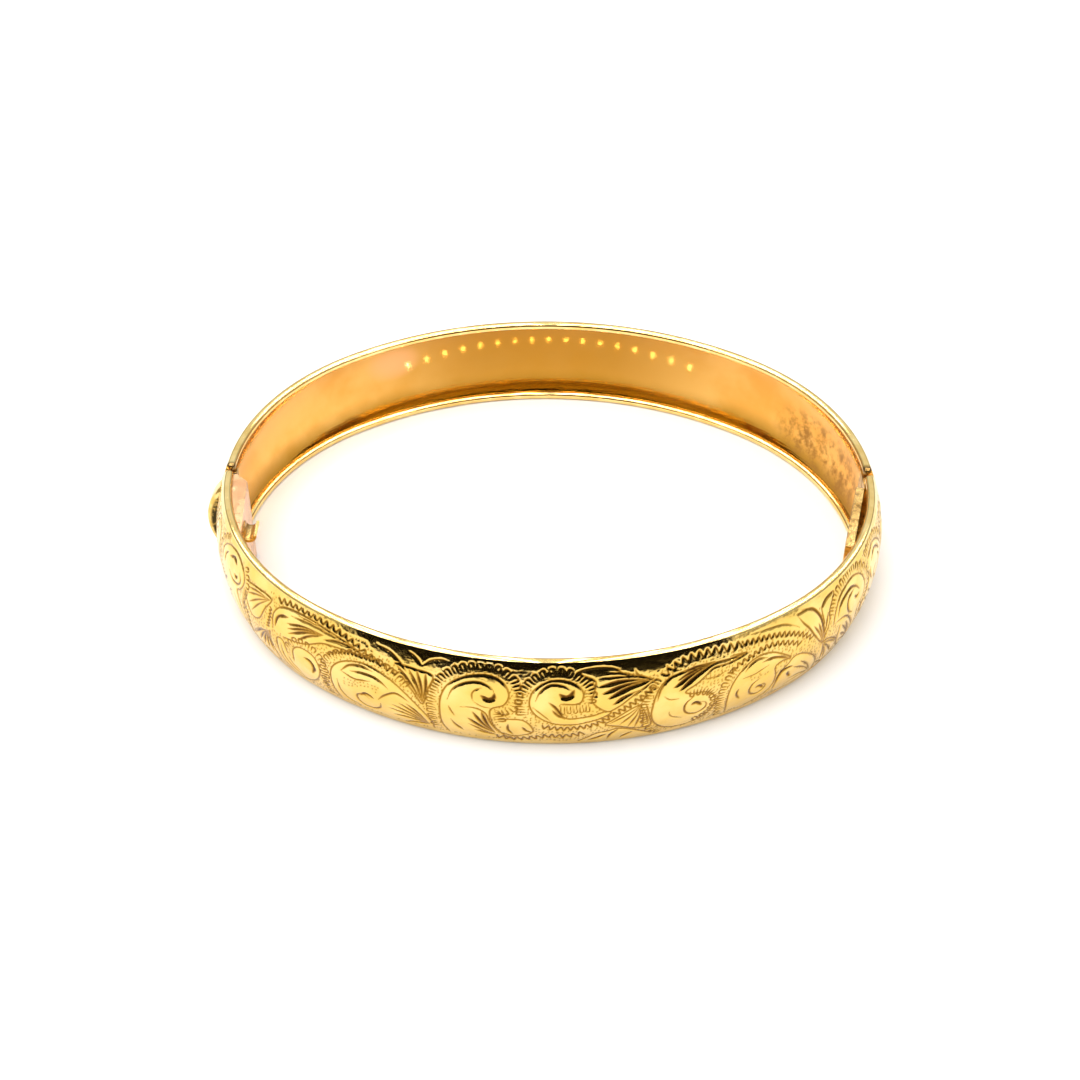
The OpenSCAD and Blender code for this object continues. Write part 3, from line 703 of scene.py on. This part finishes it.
fan((-39.0, 1.4), [(-41.5, 4.2), (-41.6, 3.4), (-41.5, 2.6), (-41.3, 1.8)], 0.4, 0.12, 0.05)


def covers(outline, across, up):
    """Which points lie inside an outline that is closed back on itself."""
    inside = np.zeros(np.shape(across), bool)
    for (x0, y0), (x1, y1) in zip(outline, np.roll(outline, -1, axis=0)):
        spans = (y0 > up) != (y1 > up)
        inside ^= spans & (across < (x1 - x0) * (up - y0) / (y1 - y0 + 1e-12) + x0)
    return inside


# The space between the motifs is set down a little and matted with a small punch
BORDER = 0.45
ENGRAVED_END = 43.6
MATTED_TARNISH = 0.24
SET_DOWN = 0.02
grid_across = np.linspace(-half_run, half_run, COLUMNS + 1)[None, :] + np.zeros((ROWS + 1, 1))
grid_up = np.linspace(0, dome_run, ROWS + 1)[:, None] - field_foot + np.zeros((1, COLUMNS + 1))
matted = (np.abs(grid_across) < ENGRAVED_END) & (grid_up > BORDER) & (grid_up < FIELD - BORDER)
for outlines, keep in ((bright_areas, False), (matted_pockets, True)):
    for outline in outlines:
        low, high = outline.min(0), outline.max(0)
        near_across = (grid_across >= low[0]) & (grid_across <= high[0])
        near_up = (grid_up >= low[1]) & (grid_up <= high[1])
        spot = np.nonzero(near_across & near_up)
        hit = covers(outline, grid_across[spot], grid_up[spot])
        matted[spot[0][hit], spot[1][hit]] = keep

column_run = 2 * half_run / COLUMNS
row_run = dome_run / ROWS
PUNCH_PITCH = 0.34
PUNCH_WANDER = 0.11
ROCKED_HALF = 0.36
rocked = np.vstack(rocked_lines)
dice = np.random.default_rng(7)
for across in np.arange(-ENGRAVED_END, ENGRAVED_END, PUNCH_PITCH):
    for up in np.arange(BORDER, FIELD - BORDER, PUNCH_PITCH):
        spot = np.array([across, up]) + dice.uniform(-PUNCH_WANDER, PUNCH_WANDER, 2)
        lean = dice.uniform(-0.1, 0.1)
        place = np.rint([(spot[1] + field_foot) / row_run, (spot[0] + half_run) / column_run]).astype(int)
        clear = np.min(np.hypot(rocked[:, 0] - spot[0], rocked[:, 1] - spot[1])) > ROCKED_HALF
        if clear and matted[tuple(place)]:
            cut([spot, spot + (lean, 0.14)], 0.2, 0.055)

# Each mark is pressed into the grid, deepest along its middle. The deeper cuts hold more dirt, and
# every cut fades out before it meets a rim wire.
hollow = np.where(matted, SET_DOWN, 0.0)
tarnish = np.where(matted, MATTED_TARNISH, 0.0)
stroke = np.vstack(marks)
column = (stroke[:, 0] + half_run) / column_run
row = (stroke[:, 1] + field_foot) / row_run
SPREAD = 4
for row_step in range(-SPREAD, SPREAD + 1):
    for column_step in range(-SPREAD, SPREAD + 1):
        at_row = np.clip(np.rint(row) + row_step, 0, ROWS).astype(int)
        at_column = np.clip(np.rint(column) + column_step, 0, COLUMNS).astype(int)
        gap = np.hypot((at_row - row) * row_run, (at_column - column) * column_run)
        press = stroke[:, 3] * np.clip(1 - (gap / stroke[:, 2]) ** 2, 0, 1)
        np.maximum.at(hollow, (at_row, at_column), press)
        np.maximum.at(tarnish, (at_row, at_column), np.clip(1.25 - gap / stroke[:, 2], 0, 1))
edge_row = np.minimum(np.arange(ROWS + 1), np.arange(ROWS, -1, -1)) * row_run
tarnish *= 0.55 + 0.45 * np.clip((hollow - 0.04) / 0.08, 0, 1)
hollow *= np.clip(edge_row / 0.3, 0, 1)[:, None]

engraved_finish, start, shader = new_material("engraved_gold")
scratches = noise(start, 3.0, 4.0, (0.2, 0.2, 2.0))
wear = noise(start, 0.25, 4.0)
waves = noise(start, 0.8, 2.0)
in_cut = start.node("ShaderNodeAttribute", {"attribute_name": "cut"}, {}, out=2)
within = start.node("ShaderNodeAttribute", {"attribute_name": "inside"}, {}, out=2)
gold_tone = wear.within(0.35, 0.7).mix((0.82, 0.53, 0.12, 1), (0.93, 0.65, 0.22, 1))
gold_tone = in_cut.within(0.05, 0.6).mix(gold_tone, (0.40, 0.20, 0.025, 1))
gold_tone = in_cut.within(0.5, 1.0).mix(gold_tone, (0.10, 0.04, 0.005, 1))
join(gold_tone, shader, "Base Color")
shader.inputs["Metallic"].default_value = 1.0
join(scratches * 0.10 + wear * 0.08 + in_cut * 0.15 + within * 0.1 + 0.04, shader, "Roughness")
join(start.node("ShaderNodeBump", {}, {"Height": waves + scratches * 0.06, "Strength": 0.8,
                                       "Distance": 0.0001}), shader, "Normal")

outer = sheet_grid(COLUMNS, ROWS, dome_radius, -1, front_clasp_end, hollow)
inner = sheet_grid(COLUMNS // 4, ROWS // 4, dome_radius - SHEET, -1, front_clasp_end)
front_sheet = closed_sheet("front_sheet", outer, inner, engraved_finish, -1)
cut_value = front_sheet.data.attributes.new("cut", "FLOAT", "POINT")
cut_value.data.foreach_set("value", np.r_[tarnish.ravel(), np.zeros(inner.shape[0] * inner.shape[1])])
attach(front_sheet, "front_half")
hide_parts("front_shell")

# ---------- Rear sheet ----------
# The back of the band: the same domed sheet, polished plain. Inside, painted shade darkens its middle
# and its foot, a pink patch of painted light brightens it high on the left, and brown dirt lies by the
# hinge.
REAR_COLUMNS, REAR_ROWS = 300, 32
LIGHT_PATCH_ACROSS, LIGHT_PATCH_UP = -17, 6.8
GRIME_ACROSS, GRIME_UP = 28.5, 3.4


def position(start, axis):
    """Where a point lies along one of the bangle's axes, in millimetres; X is 0, Y is 1 and Z is 2."""
    place = start.node("ShaderNodeTexCoord", {}, {}, out=3)
    return start.node("ShaderNodeSeparateXYZ", {}, {"Vector": place}, out=axis) * 1000


satin_finish, start, shader = new_material("polished_gold")
within = start.node("ShaderNodeAttribute", {"attribute_name": "inside"}, {}, out=2)
scratches = noise(start, 3.0, 4.0, (0.2, 0.2, 2.0))
dulling = noise(start, 0.12, 5.0)
specks = noise(start, 0.9, 8.0, (1, 1, 1), 0.7)
along, up = position(start, 0), position(start, 2)
outside_tone = dulling.within(0.3, 0.7).mix((0.82, 0.53, 0.12, 1), (0.93, 0.65, 0.22, 1))
inside_tone = dulling.within(0.35, 0.65).mix((0.78, 0.38, 0.07, 1), (0.90, 0.51, 0.14, 1))
# Painted shade: the middle of the inside is darkened towards brown, fading out towards the ends.
middle = (1 - along.maths("ABSOLUTE", along).within(6, 27)) * 0.9
inside_tone = middle.mix(inside_tone, (0.44, 0.20, 0.022, 1))
# Painted shade: a dark brown band along the foot of the inside, with a wavering top edge.
painted_foot_shade = (1 - (up + dulling * 1.5).within(1.6, 4.2)) * 0.9
inside_tone = painted_foot_shade.mix(inside_tone, (0.27, 0.13, 0.008, 1))
# Painted light: a lighter pink patch high on the left of the inside.
from_light_patch = (along - LIGHT_PATCH_ACROSS) ** 2 + (up - LIGHT_PATCH_UP) ** 2 * 1.5
painted_light_patch = (1 - (from_light_patch + dulling * 6).within(3, 14)) * 0.6
inside_tone = painted_light_patch.mix(inside_tone, (0.90, 0.46, 0.22, 1))
from_grime = (along - GRIME_ACROSS) ** 2 * 0.7 + (up - GRIME_UP) ** 2
grime = specks.within(0.42, 0.64) * (1 - from_grime.within(1, 16)) * 0.9
inside_tone = grime.mix(inside_tone, (0.30, 0.14, 0.03, 1))
join(within.mix(outside_tone, inside_tone), shader, "Base Color")
shader.inputs["Metallic"].default_value = 1.0
join(scratches * 0.05 + dulling * 0.06 + 0.03, shader, "Roughness")
join(start.node("ShaderNodeBump", {}, {"Height": scratches, "Strength": 0.06, "Distance": 0.0001}),
     shader, "Normal")
outer = sheet_grid(REAR_COLUMNS, REAR_ROWS, dome_radius, 1, rear_clasp_end)
inner = sheet_grid(REAR_COLUMNS, REAR_ROWS, dome_radius - SHEET, 1, rear_clasp_end)
rear_sheet = closed_sheet("rear_sheet", outer, inner, satin_finish, 1)
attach(rear_sheet, "rear_half")
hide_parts("rear_shell")

# ---------- Rim wires ----------
# Four lengths of round gold wire, soldered along the edges of the sheets. Each is rubbed flat
# where the bangle rests and rounded over at its ends, and the wires' ends by the seam are painted dark as
# shade.
RIM_GAP = 0.25
RUBBED = 0.03
RIM_SIDES = 28
RIM_STEPS = 220
END_STEPS = 8

rim_finish, start, shader = new_material("rim_gold")
wear = noise(start, 0.4, 4.0)
deep = position(start, 1)
rim_tone = wear.within(0.35, 0.7).mix((0.86, 0.60, 0.20, 1), (0.97, 0.76, 0.34, 1))
# Painted shade: the wire is darkened where it ends at the seam between the halves, mostly on the rear half.
seam_shade = deep.within(-0.4, 0.0) * (1 - (deep + wear).within(1.2, 1.8)) * 0.9
join(seam_shade.mix(rim_tone, (0.15, 0.075, 0.02, 1)), shader, "Base Color")
shader.inputs["Metallic"].default_value = 1.0
join(wear * 0.06 + 0.04, shader, "Roughness")


def rim_wire(name, node, body, side, level, facing):
    """A round wire along one edge. It is rubbed flat below where facing is -1, and above where it is 1."""
    end_run = run_at(RIM_GAP + RIM_RADIUS, 0)
    tip = np.linspace(0, pi / 2, END_STEPS + 1)
    run = np.r_[-end_run - RIM_RADIUS * np.cos(tip[:-1]), np.linspace(-end_run, end_run, RIM_STEPS + 1),
                end_run + RIM_RADIUS * np.cos(tip[-2::-1])]
    girth = np.r_[np.sin(tip[:-1]), np.ones(RIM_STEPS + 1), np.sin(tip[-2::-1])]
    girth = np.maximum(girth, 0.02)
    around = np.linspace(0, 2 * pi, RIM_SIDES, endpoint=False)
    x, y, nx, ny = oval(run, side)
    rings = []
    for px, py, ax, ay, wide in zip(x, y, nx, ny, girth):
        out = RIM_RADIUS * wide * np.cos(around)
        rise = np.minimum(facing * RIM_RADIUS * wide * np.sin(around), RIM_RADIUS - RUBBED)
        rings.append(np.column_stack([px + ax * out, py + ay * out, level + facing * rise]))
    count = len(rings)
    verts = np.vstack(rings)
    faces = []
    for k in range(count - 1):
        for m in range(RIM_SIDES):
            n = (m + 1) % RIM_SIDES
            a, b = k * RIM_SIDES, (k + 1) * RIM_SIDES
            faces.append([a + m, b + m, b + n, a + n][::-side])
    faces.append(list(range(RIM_SIDES))[::side])
    faces.append(list(range((count - 1) * RIM_SIDES, count * RIM_SIDES))[::-side])
    piece = new_piece(name, verts.tolist(), faces, rim_finish)
    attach(piece, body)
    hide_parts(node)


for side, body in ((-1, "front_half"), (1, "rear_half")):
    label = body.split("_")[0]
    rim_wire(label + "_lower_wire", label + "_bottom_rim", body, side, rim_low, -1)
    rim_wire(label + "_upper_wire", label + "_top_rim", body, side, BAND_HEIGHT - rim_low, 1)

# ---------- Hinge ----------
# A gold tube on the rear half turns between two on the front half, about a pin that is riveted in it.
# Each half ends in a gold block that carries its tubes, soldered across the end of the sheet, and a
# bar of gold plate stiffens the front half beside the hinge.
joint_finish, start, shader = new_material("joint_gold")
wear = noise(start, 0.5, 4.0)
dirt_and_shade_mottle = noise(start, 1.1, 6.0)
joint_tone = wear.within(0.3, 0.7).mix((0.52, 0.31, 0.09, 1), (0.82, 0.57, 0.23, 1))
join((dirt_and_shade_mottle.within(0.45, 0.66) * 0.75).mix(joint_tone, (0.28, 0.14, 0.035, 1)), shader, "Base Color")
shader.inputs["Metallic"].default_value = 1.0
join(wear * 0.25 + 0.12, shader, "Roughness")


def eased(name, node, body, width, material, segments=3):
    """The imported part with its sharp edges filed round. It rides on a body, unless body is None."""
    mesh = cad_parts[node].data.copy()
    mesh.name = name
    mesh.materials.clear()
    mesh.materials.append(material)
    piece = bpy.data.objects.new(name, mesh)
    scene.collection.objects.link(piece)
    weld = piece.modifiers.new("weld", "WELD")
    weld.merge_threshold = 0.002 * MM
    bevel = piece.modifiers.new("file", "BEVEL")
    bevel.width = width * MM
    bevel.segments = segments
    bevel.limit_method = "ANGLE"
    bevel.angle_limit = radians(35)
    if body:
        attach(piece, body)
    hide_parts(node)
    return piece


eased("hinge_stiffener", "front_hinge_plate", "front_half", 0.45, joint_finish, 6)
eased("front_bearer", "front_hinge_bearer", "front_half", 0.06, joint_finish)
eased("front_tubes", "front_knuckles", "front_half", 0.08, joint_finish)
eased("rear_bearer", "rear_hinge_bearer", "rear_half", 0.06, joint_finish)
eased("rear_tube", "rear_knuckle", "rear_half", 0.08, joint_finish)
eased("rivet_pin", "hinge_pin", "rear_half", 0.08, joint_finish)

# ---------- Clasp ----------
# A snap: a tongue of two gold leaves, soldered through the rear half's end plate, slides into a box
# folded from rose gold sheet in the front half and springs out behind the plate at its mouth. A
# small curled lip is soldered by the box's far end.
rose_finish, start, shader = new_material("rose_gold")
wear = noise(start, 0.45, 6.0)
join(wear.within(0.3, 0.7).mix((0.64, 0.34, 0.17, 1), (0.80, 0.50, 0.29, 1)), shader, "Base Color")
shader.inputs["Metallic"].default_value = 1.0
join(wear * 0.25 + 0.15, shader, "Roughness")
eased("tongue_box", "clasp_box", "front_half", 0.1, rose_finish)
eased("mouth_plate", "clasp_mouth_plate", "front_half", 0.04, joint_finish)
eased("pull_lip", "pull_tab", "front_half", 0.08, joint_finish)
eased("end_plate", "rear_end_plate", "rear_half", 0.05, joint_finish)
eased("lower_leaf", "tongue", "rear_half", 0.06, joint_finish)

# The upper leaf is the spring; on the clasp it bends from the fold at its tip as the thumb-piece presses
# its back end in towards the lower leaf. Here its filed shape is applied and it is left on no body.
upper_leaf = eased("upper_leaf", "snap_spring", None, 0.06, joint_finish)
bpy.context.view_layer.update()
filed = upper_leaf.evaluated_get(bpy.context.evaluated_depsgraph_get())
filed_mesh = bpy.data.meshes.new_from_object(filed)
upper_leaf.modifiers.clear()
upper_leaf.data = filed_mesh
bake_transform(upper_leaf)

# The thumb-piece is a slice of a disc that stands out through the band. Its face is painted black
# inside a bright edge, in mottled patches, as painted shade for the dark that it reflects.
DARK_FACE_EDGE = 0.3
press_half = (press_high.z - press_low.z) / 2 / MM
press_out = -press_low.x / MM
press_rise = press_out - half_length - dome_centre - sqrt(dome_radius ** 2 - press_half ** 2)
press_radius = (press_half ** 2 + press_rise ** 2) / (2 * press_rise)

press_finish, start, shader = new_material("thumb_gold")
dirt_and_shade_mottle = noise(start, 1.1, 7.0, (1, 1, 1), 0.65)
along, deep, up = (position(start, axis) for axis in range(3))
from_axis = ((along + press_out - press_radius) ** 2 + (up - mid_height) ** 2) ** 0.5
# Painted shade: the flat face of the thumb-piece, inside a bright edge, is darkened in mottled patches.
painted_dark_face = 1 - (from_axis + dirt_and_shade_mottle * 0.4).within(press_radius - DARK_FACE_EDGE - 0.05, press_radius - DARK_FACE_EDGE + 0.25)
painted_dark_face = painted_dark_face * (1 - (deep - press_low.y / MM).within(0.1, 0.5)) * dirt_and_shade_mottle.within(0.3, 0.5)
press_tone = dirt_and_shade_mottle.within(0.35, 0.65).mix((0.72, 0.44, 0.10, 1), (0.92, 0.64, 0.24, 1))
join(painted_dark_face.mix(press_tone, (0.05, 0.035, 0.012, 1)), shader, "Base Color")
shader.inputs["Metallic"].default_value = 1.0
join(dirt_and_shade_mottle * 0.15 + painted_dark_face * 0.2 + 0.04, shader, "Roughness")
eased("thumb_press_bar", "thumb_piece", "thumb_press", 0.25, press_finish, 4)
